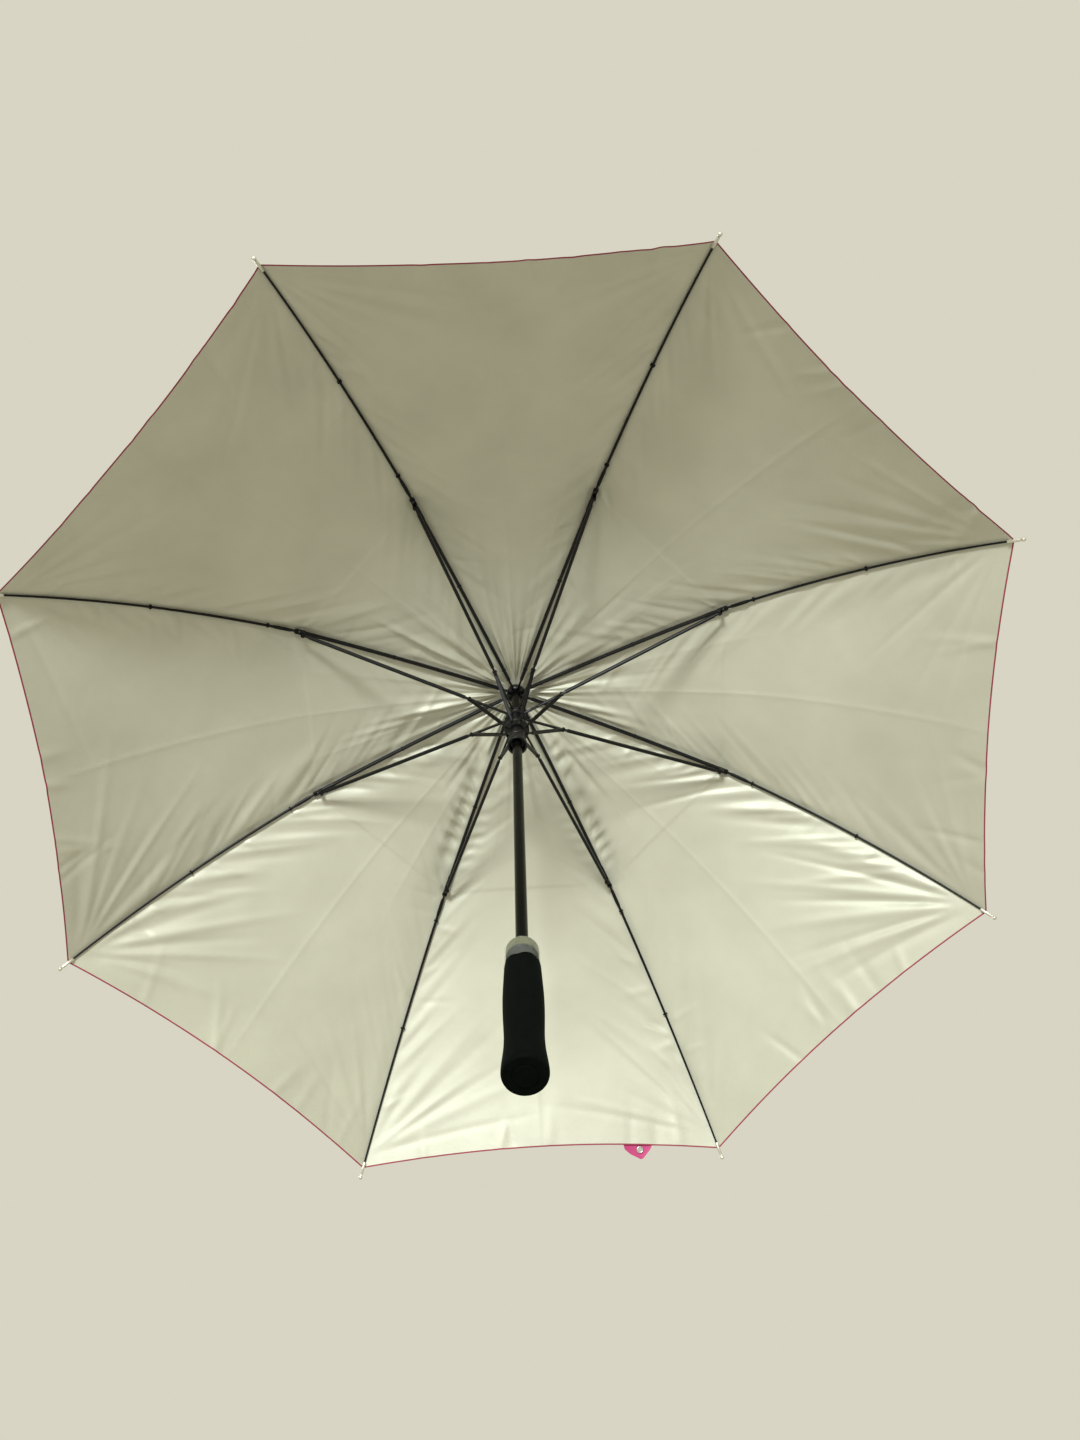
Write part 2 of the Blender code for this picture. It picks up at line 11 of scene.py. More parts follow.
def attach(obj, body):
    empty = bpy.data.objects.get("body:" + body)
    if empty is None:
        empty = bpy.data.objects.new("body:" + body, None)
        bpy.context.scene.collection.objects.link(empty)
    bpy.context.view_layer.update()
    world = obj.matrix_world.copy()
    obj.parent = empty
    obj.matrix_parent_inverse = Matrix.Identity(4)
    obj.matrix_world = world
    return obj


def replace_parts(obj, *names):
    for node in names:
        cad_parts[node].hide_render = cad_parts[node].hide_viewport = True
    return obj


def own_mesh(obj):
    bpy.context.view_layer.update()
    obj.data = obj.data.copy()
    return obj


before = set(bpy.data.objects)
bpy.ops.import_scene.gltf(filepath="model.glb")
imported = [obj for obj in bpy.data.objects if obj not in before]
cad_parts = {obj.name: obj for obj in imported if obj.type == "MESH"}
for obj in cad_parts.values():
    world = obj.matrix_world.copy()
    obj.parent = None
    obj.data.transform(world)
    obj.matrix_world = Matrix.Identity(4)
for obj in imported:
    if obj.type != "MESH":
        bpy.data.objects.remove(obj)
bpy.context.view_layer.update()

# ---- dimensions shared with the frame (metres) ----
RIBS = 8
FIRST = math.radians(-112.5)
PITCH = math.radians(45)
HALF = PITCH / 2
CROWN_Z = 0.890
PIVOT_R = 0.010
ARM = 0.2925
OPEN = math.radians(81.25)
RIB_LENGTH = 0.69
JOINT = np.array([PIVOT_R + ARM * math.sin(OPEN), -ARM * math.cos(OPEN)])
HINGE = JOINT + np.array([0.010, 0.0075])
CORNER = np.array([0.640, -0.2467])
RUNNER = np.array([PIVOT_R, -2 * ARM * math.cos(OPEN)])
ALONG = np.array([math.sin(OPEN), math.cos(OPEN)])
LINK_TOP = RUNNER + 0.057 * ALONG
SLIDER_DROP = 0.048
LINK_LOW = np.array([0.0146, RUNNER[1] - SLIDER_DROP])
RUNNER_Z = CROWN_Z + RUNNER[1]
SHAFT_R = 0.0060
INNER_BOW = 0.0060
OUTER_BOW = 0.0225
CLOTH_UP = 0.0038
HEM_DIP = 0.020
CLOTH_THICK = 0.0004
HOLE_R = 0.0068
KNEE = HINGE[0] / CORNER[0]
CORNER_HALF = CORNER[0] * math.sin(HALF)
INNER_BODY = "rib_unit_%d"
OUTER_BODY = "outer_%d"
FLOOR_Z = -1.5


# ---- small maths ----
def smooth(a, b, x):
    t = np.clip((x - a) / (b - a), 0, 1)
    return t * t * (3 - 2 * t)


def angle_of(k):
    return FIRST + (k - 1) * PITCH


def rib_line(s):
    """(r, z) of the rib's centre line above the crown's pivots, s from 0 to 1 at the corner."""
    s = np.asarray(s, float)
    inner = s <= KNEE
    t = np.where(inner, s / KNEE, (s - KNEE) / (1 - KNEE))
    crown = np.array([PIVOT_R, 0.0])
    start = np.where(inner[..., None], crown, HINGE)
    end = np.where(inner[..., None], HINGE, CORNER)
    bow = np.where(inner, INNER_BOW, OUTER_BOW)
    chord = end - start
    length = np.linalg.norm(chord, axis=-1)
    up = np.stack([-chord[..., 1], chord[..., 0]], -1) / length[..., None]
    p = start + t[..., None] * chord + (4 * bow * t * (1 - t))[..., None] * up
    return p[..., 0], p[..., 1]


def cloth_line(s):
    """(r, z) of the lining where it lies on the rib, drawn down to the hole at the crown."""
    r, z = rib_line(s)
    kink = 0.0011 * np.exp(-(((s - KNEE) / 0.05) ** 2))
    over = z + CLOTH_UP - 0.0002 + kink
    near = np.clip(1 - s / 0.075, 0, 1)
    blend = near * near * (3 - 2 * near)
    blend = np.where(r < 0.0145, 1.0, blend)
    return np.maximum(r, HOLE_R), over + (0.0079 - over) * blend


# ---- wrinkles ----
def ridge(x, y, x0, y0, direction, length, width, height):
    """A soft fold running from (x0, y0) in a direction, fading at both ends."""
    c, s = math.cos(direction), math.sin(direction)
    u = ((x - x0) * c + (y - y0) * s) / length
    v = -(x - x0) * s + (y - y0) * c
    along = smooth(0.0, 0.22, u) * (1 - smooth(0.35, 1.0, u))
    return height * along * np.exp(-((v / width) ** 2))


def waves(x, y, seed, count, low, high):
    """Smooth low relief from a few seeded sine waves."""
    rng = np.random.default_rng(seed)
    total = np.zeros_like(x)
    for _ in range(count):
        f = rng.uniform(low, high)
        a = rng.uniform(0, math.pi)
        total += np.sin(2 * math.pi * f * (x * math.cos(a) + y * math.sin(a)) + rng.uniform(0, 6.3))
    return total / count


# how strongly each panel puckers beside its first and its second rib
PUCKER = {1: (0.35, 0.30), 2: (0.30, 0.45), 3: (0.50, 0.40), 4: (1.00, 0.30),
          5: (0.40, 0.50), 6: (0.30, 1.00), 7: (0.55, 0.40), 8: (0.55, 0.35)}
# how far the cloth of a few panels sags beside those ribs
SLACK = {4: (0.2, 1.0), 5: (0.3, 0.4), 6: (1.0, 0.2)}
KNEE_REACH = 0.11


def panel_relief(k, s, w):
    """Height of the cloth's wrinkles off the taut panel, positive towards the outside."""
    rng = np.random.default_rng(100 + k)
    x = s * RIB_LENGTH
    wide = 2 * np.interp(s, [0, 1], [HOLE_R, CORNER[0]]) * math.sin(HALF)
    y = (w - 0.5) * wide
    edge = np.minimum(w, 1 - w) * wide
    d = -0.0045 * np.sin(math.pi * np.clip(s, 0, 1)) ** 0.8 * (4 * w * (1 - w)) ** 0.8
    # away from the ribs the cloth rounds off the bend at the knee
    bend = np.clip(KNEE_REACH - np.abs(s * CORNER[0] - HINGE[0]), 0, None)
    d = d - 0.365 * bend**2 * smooth(0.004, 0.06, edge)
    # the crease left by folding, down the middle of the panel, and two fainter ones
    crease = np.exp(-np.sqrt((y / 0.0024) ** 2 + 0.3)) * smooth(0.05, 0.16, s)
    d = d - 0.0009 * crease * (1 - 0.5 * smooth(0.9, 1.0, s))
    for _ in range(2):
        a = rng.uniform(0.25, 0.6) * HALF * rng.choice([-1, 1])
        line = (y - x * math.tan(a)) * math.cos(a)
        reach = rng.uniform(0.28, 0.45)
        d = d - 0.0009 * np.exp(-np.sqrt((line / 0.0030) ** 2 + 0.3)) * smooth(0.04, 0.1, x) * (
            1 - smooth(reach * 0.7, reach, x))
    d = d + 0.0014 * waves(x, y, 11 * k, 7, 2.0, 6.0) * smooth(0.05, 0.4, s)
    # pleats that start at the crown
    phase = rng.uniform(0, 6.3)
    count = 2 + (k % 2)
    pleat = np.cos(2 * math.pi * count * w + phase) + 0.5 * np.cos(2 * math.pi * (2 * count + 1) * w - phase)
    fade = np.exp(-x / 0.085) * smooth(0.005, 0.035, x)
    d = d + 0.0036 * pleat * fade
    for _ in range(8):
        a = rng.uniform(-0.8, 0.8) * HALF
        start = rng.uniform(0.03, 0.12)
        y0 = start * math.tan(a)
        high = rng.uniform(0.0010, 0.0026) * rng.choice([-1, 1])
        d = d + ridge(x, y, start, y0, a * 0.9, rng.uniform(0.10, 0.24), rng.uniform(0.004, 0.008), high)
    for side, strong in ((-1, PUCKER[k][0]), (1, PUCKER[k][1])):
        corner_y = side * CORNER_HALF
        # tension folds that fan from the corner
        for i in range(8):
            away = HALF + math.radians(7 + 7.5 * i + rng.uniform(-3, 3))
            direction = math.atan2(-side * math.sin(away), -math.cos(away))
            far = rng.uniform(0.14, 0.34)
            high = strong * rng.uniform(0.0012, 0.0026) * (1 if i % 2 else -1)
            d = d + ridge(x, y, 0.675, corner_y * 0.985, direction, far, rng.uniform(0.0045, 0.0085), high)
        # a train of folds that leave the rib towards the middle of the panel
        start = 0.60
        while start > 0.17:
            away = HALF + math.radians(rng.uniform(20, 34))
            direction = math.atan2(-side * math.sin(away), -math.cos(away))
            far = rng.uniform(0.09, 0.20)
            high = strong * rng.uniform(0.0010, 0.0024) * rng.choice([-1, 1], p=[0.65, 0.35])
            y0 = side * (start / RIB_LENGTH) * CORNER_HALF
            d = d + ridge(x, y, start, y0, direction, far, rng.uniform(0.0045, 0.0080), high)
            start -= rng.uniform(0.014, 0.030)
        # short puckers square to the rib
        for _ in range(9):
            x0 = rng.uniform(0.10, 0.64)
            y0 = side * (x0 / RIB_LENGTH) * CORNER_HALF
            lean = HALF + math.radians(rng.uniform(45, 95))
            direction = math.atan2(-side * math.sin(lean), -math.cos(lean))
            high = (0.4 + 0.6 * strong) * rng.uniform(0.0007, 0.0016) * rng.choice([-1, 1])
            d = d + ridge(x, y, x0, y0, direction, rng.uniform(0.03, 0.07), rng.uniform(0.0035, 0.0055), high)
        slack = SLACK.get(k, (0, 0))[(side + 1) // 2]
        if slack:
            off = np.where(y * side > 0, edge, 1.0)
            trough = np.exp(-(((off - 0.017) / 0.012) ** 2))
            trough = trough * smooth(0.07, 0.13, x) * (1 - smooth(0.26, 0.34, x))
            rung = np.sin(x * 2 * math.pi / 0.026 + 3.0 * np.sin(x * 31 + k)) + 0.4
            d = d + slack * trough * (0.0040 + 0.0024 * rung)
    # the scalloped hem pulls a few small folds
    for _ in range(7):
        y0 = rng.uniform(-0.2, 0.2)
        high = rng.uniform(0.0006, 0.0014) * rng.choice([-1, 1])
        direction = math.pi + rng.uniform(-0.6, 0.6)
        d = d + ridge(x, y, 0.70, y0, direction, rng.uniform(0.05, 0.13), rng.uniform(0.005, 0.008), high)
    return d * smooth(0.0, 0.011, edge)


def panel_point(k, s, w):
    """Taut surface of the panel between rib k and the next one, on the inner face."""
    v = 1 - np.abs(1 - 2 * w)
    s = s * (1 - HEM_DIP * (1 - (1 - v) ** 2))
    r, z = cloth_line(s)
    a, b = angle_of(k), angle_of(k + 1)
    x = r * ((1 - w) * math.cos(a) + w * math.cos(b))
    y = r * ((1 - w) * math.sin(a) + w * math.sin(b))
    return np.stack([x, y, CROWN_Z + z], -1)


def cloth_grid(k, s, v):
    """Lining and cover points of the wedge round rib k, v from -1 to 1 and a little past."""
    S, V = np.meshgrid(s, v, indexing="ij")
    right = V >= 0
    before = (k - 2) % RIBS + 1
    w_right, w_left = np.clip(V, 0, None) / 2, 1 + np.clip(V, None, 0) / 2
    base = np.where(right[..., None], panel_point(k, S, w_right), panel_point(before, S, w_left))
    lift = np.where(right, panel_relief(k, S, w_right), panel_relief(before, S, w_left))
    off = normals_of(base)
    lining = base + lift[..., None] * off
    return lining, lining + CLOTH_THICK * off


def normals_of(p):
    """Unit normals of a grid of points, pointing to the outer side."""
    n = np.cross(np.gradient(p, axis=0), np.gradient(p, axis=1))
    n /= np.linalg.norm(n, axis=-1, keepdims=True) + 1e-12
    return np.where(n[..., 2:3] < 0, -n, n)


# ---- materials ----
def new_material(name):
    m = bpy.data.materials.new(name)
    m.use_nodes = True
    return m, m.node_tree.nodes, m.node_tree.links, m.node_tree.nodes["Principled BSDF"]


def ramp(nodes, low, high, a=0.0, b=1.0):
    node = nodes.new("ShaderNodeValToRGB")
    node.color_ramp.elements[0].position = a
    node.color_ramp.elements[1].position = b
    node.color_ramp.elements[0].color = (*low, 1)
    node.color_ramp.elements[1].color = (*high, 1)
    return node


def noise(nodes, links, scale, detail=4.0, rough=0.5):
    coord = nodes.new("ShaderNodeTexCoord")
    node = nodes.new("ShaderNodeTexNoise")
    node.inputs["Scale"].default_value = scale
    node.inputs["Detail"].default_value = detail
    node.inputs["Roughness"].default_value = rough
    links.new(coord.outputs["Object"], node.inputs["Vector"])
    return node


def bump(nodes, links, bsdf, source, strength, distance):
    node = nodes.new("ShaderNodeBump")
    node.inputs["Strength"].default_value = strength
    node.inputs["Distance"].default_value = distance
    links.new(source, node.inputs["Height"])
    links.new(node.outputs["Normal"], bsdf.inputs["Normal"])


WEAVE_SCALE = 340.0


def cloth_material(name, low, high, rough, metal=0.0, sheen=0.0):
    """Woven cloth: fine plain weave, slight blotches and a slow change of tone."""
    m, nodes, links, b = new_material(name)
    blot = noise(nodes, links, 9.0, 6.0, 0.55)
    tone = ramp(nodes, low, high, 0.32, 0.70)
    links.new(blot.outputs["Fac"], tone.inputs["Fac"])
    links.new(tone.outputs["Color"], b.inputs["Base Color"])
    soft = noise(nodes, links, 30.0, 5.0)
    band = ramp(nodes, (rough - 0.06,) * 3, (rough + 0.06,) * 3)
    links.new(soft.outputs["Fac"], band.inputs["Fac"])
    links.new(band.outputs["Color"], b.inputs["Roughness"])
    coord = nodes.new("ShaderNodeTexCoord")
    weave = nodes.new("ShaderNodeMath")
    weave.operation = "ADD"
    for i, axis in enumerate(("X", "Y")):
        wave = nodes.new("ShaderNodeTexWave")
        wave.wave_type = "BANDS"
        wave.bands_direction = axis
        wave.inputs["Scale"].default_value = WEAVE_SCALE
        wave.inputs["Distortion"].default_value = 0.4
        links.new(coord.outputs["UV"], wave.inputs["Vector"])
        links.new(wave.outputs["Fac"], weave.inputs[i])
    crease = noise(nodes, links, 55.0, 6.0, 0.6)
    mix = nodes.new("ShaderNodeMath")
    mix.operation = "MULTIPLY_ADD"
    mix.inputs[1].default_value = 6.0
    links.new(crease.outputs["Fac"], mix.inputs[0])
    links.new(weave.outputs[0], mix.inputs[2])
    bump(nodes, links, b, mix.outputs[0], 0.35, 0.00012)
    b.inputs["Metallic"].default_value = metal
    b.inputs["Sheen Weight"].default_value = sheen
    b.inputs["Sheen Roughness"].default_value = 0.4
    return m


def hard_material(name, low, high, rough, metal=0.0, scale=60.0, bump_mm=0.0, shine=0.5):
    """Paint, plastic or metal with slight wear in its tone and gloss."""
    m, nodes, links, b = new_material(name)
    mottle = noise(nodes, links, scale, 5.0, 0.6)
    tone = ramp(nodes, low, high, 0.3, 0.75)
    links.new(mottle.outputs["Fac"], tone.inputs["Fac"])
    links.new(tone.outputs["Color"], b.inputs["Base Color"])
    band = ramp(nodes, (rough * 0.8,) * 3, (min(1.0, rough * 1.25),) * 3)
    links.new(mottle.outputs["Fac"], band.inputs["Fac"])
    links.new(band.outputs["Color"], b.inputs["Roughness"])
    b.inputs["Metallic"].default_value = metal
    b.inputs["Specular IOR Level"].default_value = shine
    if bump_mm:
        fine = noise(nodes, links, scale * 12, 4.0, 0.6)
        bump(nodes, links, b, fine.outputs["Fac"], 0.5, bump_mm / 1000)
    return m


LINING = cloth_material("lining_silver", (0.490, 0.480, 0.375), (0.550, 0.540, 0.425), 0.44, metal=0.15)
COVER = cloth_material("cover_rose", (0.44, 0.022, 0.135), (0.52, 0.034, 0.175), 0.58, sheen=0.1)
HEM = cloth_material("hem_binding", (0.24, 0.022, 0.045), (0.32, 0.032, 0.062), 0.7)
STEEL = hard_material("black_steel", (0.0015, 0.0016, 0.0016), (0.0037, 0.0037, 0.0037), 0.34,
                      scale=90, shine=0.25)
FIBRE = hard_material("black_fibreglass", (0.0015, 0.0015, 0.0015), (0.0037, 0.0037, 0.0037), 0.40,
                      scale=120, shine=0.2)
PLASTIC = hard_material("black_plastic", (0.0019, 0.002, 0.0021), (0.0043, 0.0045, 0.0046), 0.36,
                        scale=70, bump_mm=0.02, shine=0.3)
LACQUER = hard_material("shaft_lacquer", (0.0016, 0.0017, 0.0013), (0.0036, 0.0038, 0.0028), 0.20,
                        scale=40, shine=0.06)
BRIGHT = hard_material("bright_steel", (0.55, 0.54, 0.50), (0.70, 0.69, 0.65), 0.26, metal=1.0, scale=200)
NICKEL = hard_material("tip_metal", (0.60, 0.58, 0.48), (0.74, 0.71, 0.60), 0.30, metal=0.75, scale=260)
FOAM = hard_material("grip_foam", (0.0012, 0.0020, 0.0016), (0.0034, 0.0044, 0.0038), 0.75,
                     scale=90, bump_mm=0.12, shine=0.03)
# grip collar: its olive tone is a painted reflection of green surroundings on a silver-grey collar
COLLAR_OLIVE_REFLECTION = hard_material("collar_painted_reflection", (0.060, 0.064, 0.020), (0.120, 0.125, 0.045), 0.30,
                       scale=160, bump_mm=0.25)
FILM = hard_material("clear_film", (0.55, 0.57, 0.50), (0.80, 0.82, 0.74), 0.20,
                     scale=240, bump_mm=0.3, shine=0.6)
FILM.node_tree.nodes["Principled BSDF"].inputs["Alpha"].default_value = 0.07
THREAD = hard_material("black_thread", (0.004, 0.004, 0.004), (0.012, 0.012, 0.012), 0.8,
                       scale=900, shine=0.2)


# ---- mesh building ----
def new_object(name, data):
    obj = bpy.data.objects.new(name, data)
    bpy.context.scene.collection.objects.link(obj)
    return obj


def turn_faces_out(mesh):
    work = bmesh.new()
    work.from_mesh(mesh)
    bmesh.ops.recalc_face_normals(work, faces=work.faces)
    work.to_mesh(mesh)
    work.free()


def shade_smooth(mesh, degrees):
    """Smooths the shading, except over edges that bend by more than this."""
    limit = math.cos(math.radians(degrees))
    work = bmesh.new()
    work.from_mesh(mesh)
    for f in work.faces:
        f.smooth = True
    for e in work.edges:
        if len(e.link_faces) == 2:
            e.smooth = e.link_faces[0].normal.dot(e.link_faces[1].normal) > limit
    work.to_mesh(mesh)
    work.free()


def make(name, points, faces, mat, body, shade=40):
    mesh = bpy.data.meshes.new(name)
    mesh.from_pydata([tuple(float(c) for c in p) for p in points], [], faces)
    turn_faces_out(mesh)
    shade_smooth(mesh, shade)
    obj = new_object(name, mesh)
    mesh.materials.append(mat)
    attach(obj, body)
    return obj


def band_faces(rows, around, closed=False):
    """Quads between successive rings of points."""
    faces = []
    for i in range(rows if closed else rows - 1):
        j = (i + 1) % rows
        for q in range(around):
            r = (q + 1) % around
            faces.append((i * around + q, i * around + r, j * around + r, j * around + q))
    return faces


class Shape:
    """Collects points and faces of several closed shells."""

    def __init__(self):
        self.points = []
        self.faces = []

    def add(self, points, faces):
        base = len(self.points)
        self.points += [np.asarray(p, float) for p in points]
        self.faces += [tuple(base + i for i in f) for f in faces]

    def sweep(self, path, section, closed=False):
        """section(i) gives the ring of (across, up) offsets at path point i; the path lies in 3-D."""
        path = np.asarray(path, float)
        n = len(path)
        rings = []
        for i in range(n):
            if closed:
                ahead = path[(i + 1) % n] - path[i - 1]
            else:
                ahead = path[min(i + 1, n - 1)] - path[max(i - 1, 0)]
            ahead = ahead / np.linalg.norm(ahead)
            side = np.cross(ahead, [0, 0, 1.0])
            if np.linalg.norm(side) < 1e-6:
                side = np.array([0, 1.0, 0])
            side = side / np.linalg.norm(side)
            up = np.cross(side, ahead)
            rings.append([path[i] + a * side + b * up for a, b in section(i)])
        m = len(rings[0])
        faces = band_faces(n, m, closed)
        if not closed:
            faces.append(tuple(range(m)))
            faces.append(tuple((n - 1) * m + q for q in range(m)))
        self.add([p for ring in rings for p in ring], faces)

    def drum(self, centre, axis, radius, width, sides=24, edge=0.0002):
        """A short cylinder with softened rims."""
        axis = np.asarray(axis, float) / np.linalg.norm(axis)
        h = width / 2
        stations = [(-h, radius - edge), (-h + edge, radius), (h - edge, radius), (h, radius - edge)]
        path = [np.asarray(centre) + d * axis for d, _ in stations]
        side = np.cross(axis, [0, 0, 1.0])
        if np.linalg.norm(side) < 1e-6:
            side = np.array([1.0, 0, 0])
        side = side / np.linalg.norm(side)
        up = np.cross(side, axis)
        points = []
        for p, (_, r) in zip(path, stations):
            for q in range(sides):
                a = 2 * math.pi * q / sides
                points.append(p + r * (math.cos(a) * side + math.sin(a) * up))
        last = len(stations) - 1
        faces = band_faces(len(stations), sides)
        faces.append(tuple(range(sides)))
        faces.append(tuple(last * sides + q for q in range(sides)))
        self.add(points, faces)


def round_section(radii, sides=16):
    def section(i):
        r = radii[i] if hasattr(radii, "__len__") else radii
        angles = [2 * math.pi * q / sides for q in range(sides)]
        return [(r * math.cos(a), r * math.sin(a)) for a in angles]

    return section


def channel_section(half, high, wall):
    """A folded-steel channel, round underneath and open above."""
    ring = []
    for q in range(9):
        a = math.pi + math.pi * q / 8
        ring.append((half * math.cos(a), -high * 0.2 + half * math.sin(a)))
    ring += [(half, high * 0.5), (half - wall, high * 0.5)]
    for q in range(7):
        a = 2 * math.pi - math.pi * q / 6
        ring.append(((half - wall) * math.cos(a), -high * 0.2 + (half - wall) * math.sin(a)))
    ring += [(-half + wall, high * 0.5), (-half, high * 0.5)]
    return lambda i: ring


def box_section(half, high):
    e = min(half, high) * 0.3
    ring = [(half, high - e), (half - e, high), (-half + e, high), (-half, high - e)]
    ring += [(-half, -high + e), (-half + e, -high), (half - e, -high), (half, -high + e)]
    return lambda i: ring


def side_of(k):
    """The direction square to rib k's plane."""
    a = angle_of(k)
    return np.array([-math.sin(a), math.cos(a), 0])


def place(k, rz, across=0.0):
    """A point of rib k's plane in the world: rz is (r, z above the crown's pivots)."""
    a = angle_of(k)
    out = np.array([math.cos(a), math.sin(a), 0])
    return rz[0] * out + across * side_of(k) + np.array([0, 0, CROWN_Z + rz[1]])


def lathe(profile, steps=96, z=0.0):
    """Turns a closed (r, z) profile round the shaft's axis."""
    n = len(profile)
    points = []
    for i in range(steps):
        a = 2 * math.pi * i / steps
        points += [(r * math.cos(a), r * math.sin(a), z + h) for r, h in profile]
    faces = []
    for i in range(steps):
        k = (i + 1) % steps
        for j in range(n):
            m = (j + 1) % n
            faces.append((i * n + j, k * n + j, k * n + m, i * n + m))
    return points, faces


def rounded(profile, radius=0.0006, steps=4):
    """Rounds the corners of a closed profile."""
    out = []
    n = len(profile)
    for i in range(n):
        p = np.array(profile[i], float)
        a, b = np.array(profile[i - 1], float) - p, np.array(profile[(i + 1) % n], float) - p
        la, lb = np.linalg.norm(a), np.linalg.norm(b)
        bend = np.dot(a, b) / (la * lb)
        if bend < -0.97:
            out.append(tuple(p))
            continue
        cut = min(radius, la * 0.4, lb * 0.4)
        start, end = p + a / la * cut, p + b / lb * cut
        for t in np.linspace(0, 1, steps):
            out.append(tuple((1 - t) ** 2 * start + 2 * t * (1 - t) * p + t * t * end))
    return out


def spline(points, steps):
    """Catmull-Rom through (r, z) points."""
    pts = [np.array(p, float) for p in points]
    pts = [2 * pts[0] - pts[1], *pts, 2 * pts[-1] - pts[-2]]
    out = []
    for i in range(1, len(pts) - 2):
        p0, p1, p2, p3 = pts[i - 1 : i + 3]
        for t in np.arange(steps) / steps:
            out.append(
                0.5 * (2 * p1 + (p2 - p0) * t + (2 * p0 - 5 * p1 + 4 * p2 - p3) * t * t
                       + (3 * p1 - p0 - 3 * p2 + p3) * t**3)
            )
    out.append(pts[-2])
    return [tuple(p) for p in out]


def cut(obj, cutter):
    """Takes the cutter's solid out of the object and removes the cutter."""
    m = obj.modifiers.new("Cut", "BOOLEAN")
    m.operation = "DIFFERENCE"
    m.solver = "EXACT"
    m.object = cutter
    bpy.context.view_layer.update()
    graph = bpy.context.evaluated_depsgraph_get()
    made = bpy.data.meshes.new_from_object(obj.evaluated_get(graph))
    obj.modifiers.clear()
    obj.data = made
    bpy.data.objects.remove(cutter)


# ---- canopy ----
def rim(path, count):
    """Quads that close the edge between the lining's points and the cover's."""
    return np.stack([path[:-1], path[1:], path[1:] + count, path[:-1] + count], 1)


def cloth_piece(name, s, points, cover, normals, body, hem):
    """One stretch of the wedge round rib k: lining, cover and their edge, in one closed mesh."""
    n, m = points.shape[:2]
    verts = np.concatenate([points.reshape(-1, 3), cover.reshape(-1, 3)])
    facing = np.concatenate([-normals.reshape(-1, 3), normals.reshape(-1, 3)])
    i, j = np.meshgrid(np.arange(n - 1), np.arange(m - 1), indexing="ij")
    a = (i * m + j).ravel()
    quad = np.stack([a, a + m, a + m + 1, a + 1], 1)
    middle = quad[len(quad) // 2]
    p = verts[middle]
    turned = np.dot(np.cross(p[1] - p[0], p[2] - p[0]), facing[middle[0]]) < 0
    if turned:
        quad = quad[:, ::-1]
    around = np.concatenate([
        np.arange(m), np.arange(1, n) * m + m - 1, (n - 1) * m + np.arange(m - 2, -1, -1),
        np.arange(n - 2, -1, -1) * m])
    sides = rim(around, n * m)
    if turned:
        sides = sides[:, ::-1]
    half_quads = np.concatenate([quad[:, [0, 1, 2]], quad[:, [0, 2, 3]]])
    side_tris = np.concatenate([sides[:, [0, 1, 2]], sides[:, [0, 2, 3]]])
    faces = np.concatenate([half_quads, half_quads[:, ::-1] + n * m, side_tris])
    mats = np.concatenate([np.zeros(len(half_quads), int), np.ones(len(half_quads) + len(side_tris), int)])
    if hem:
        mats[: len(half_quads)][np.tile(i.ravel(), 2) >= n - 2] = 2
        mats[2 * len(half_quads):] = 2
    mesh = bpy.data.meshes.new(name)
    mesh.from_pydata(verts.tolist(), [], faces.tolist())
    mesh.materials.append(LINING)
    mesh.materials.append(COVER)
    mesh.materials.append(HEM)
    mesh.polygons.foreach_set("material_index", mats.astype(np.int32))
    mesh.polygons.foreach_set("use_smooth", np.ones(len(faces), bool))
    S, V = np.meshgrid(s, np.linspace(-1, 1, m), indexing="ij")
    uv = np.stack([S * RIB_LENGTH, V * S * CORNER_HALF], -1).reshape(-1, 2)
    uv = np.concatenate([uv, uv])
    layer = mesh.uv_layers.new(name="weave")
    loops = np.empty(len(mesh.loops), np.int32)
    mesh.loops.foreach_get("vertex_index", loops)
    layer.data.foreach_set("uv", uv[loops].astype(np.float32).ravel())
    mesh.update()
    mesh.normals_split_custom_set_from_vertices(facing.tolist())
    obj = new_object(name, mesh)
    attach(obj, body)
    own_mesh(obj)
    return obj


FINE = 1.0
DENSE_TO = 0.09
HEM_FROM = 0.9975


def build_canopy():
    across = int(76 * FINE) * 2
    near_crown = np.linspace(0, DENSE_TO, int(22 * FINE))
    inner_rows = np.concatenate([near_crown, np.linspace(DENSE_TO, KNEE, int(92 * FINE))[1:]])
    outer_rows = np.concatenate([np.linspace(KNEE, HEM_FROM, int(122 * FINE)), [1.0]])
    rows = np.concatenate([inner_rows, outer_rows[1:]])
    step = 2.0 / across
    v = np.linspace(-1 - step, 1 + step, across + 3)
    cut_at = len(inner_rows)
    for k in range(1, RIBS + 1):
        lining, cover = cloth_grid(k, rows, v)
        normals = normals_of(lining)
        lining, cover, normals = (g[:, 1:-1] for g in (lining, cover, normals))
        pieces = []
        for name, body, part, hem in (
            ("inner", INNER_BODY, slice(0, cut_at), False),
            ("outer", OUTER_BODY, slice(cut_at - 1, None), True),
        ):
            pieces.append(cloth_piece(f"canopy_{name}_{k}", rows[part], lining[part], cover[part],
                                      normals[part], body % k, hem))
        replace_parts(pieces[0], f"canopy_{k}")


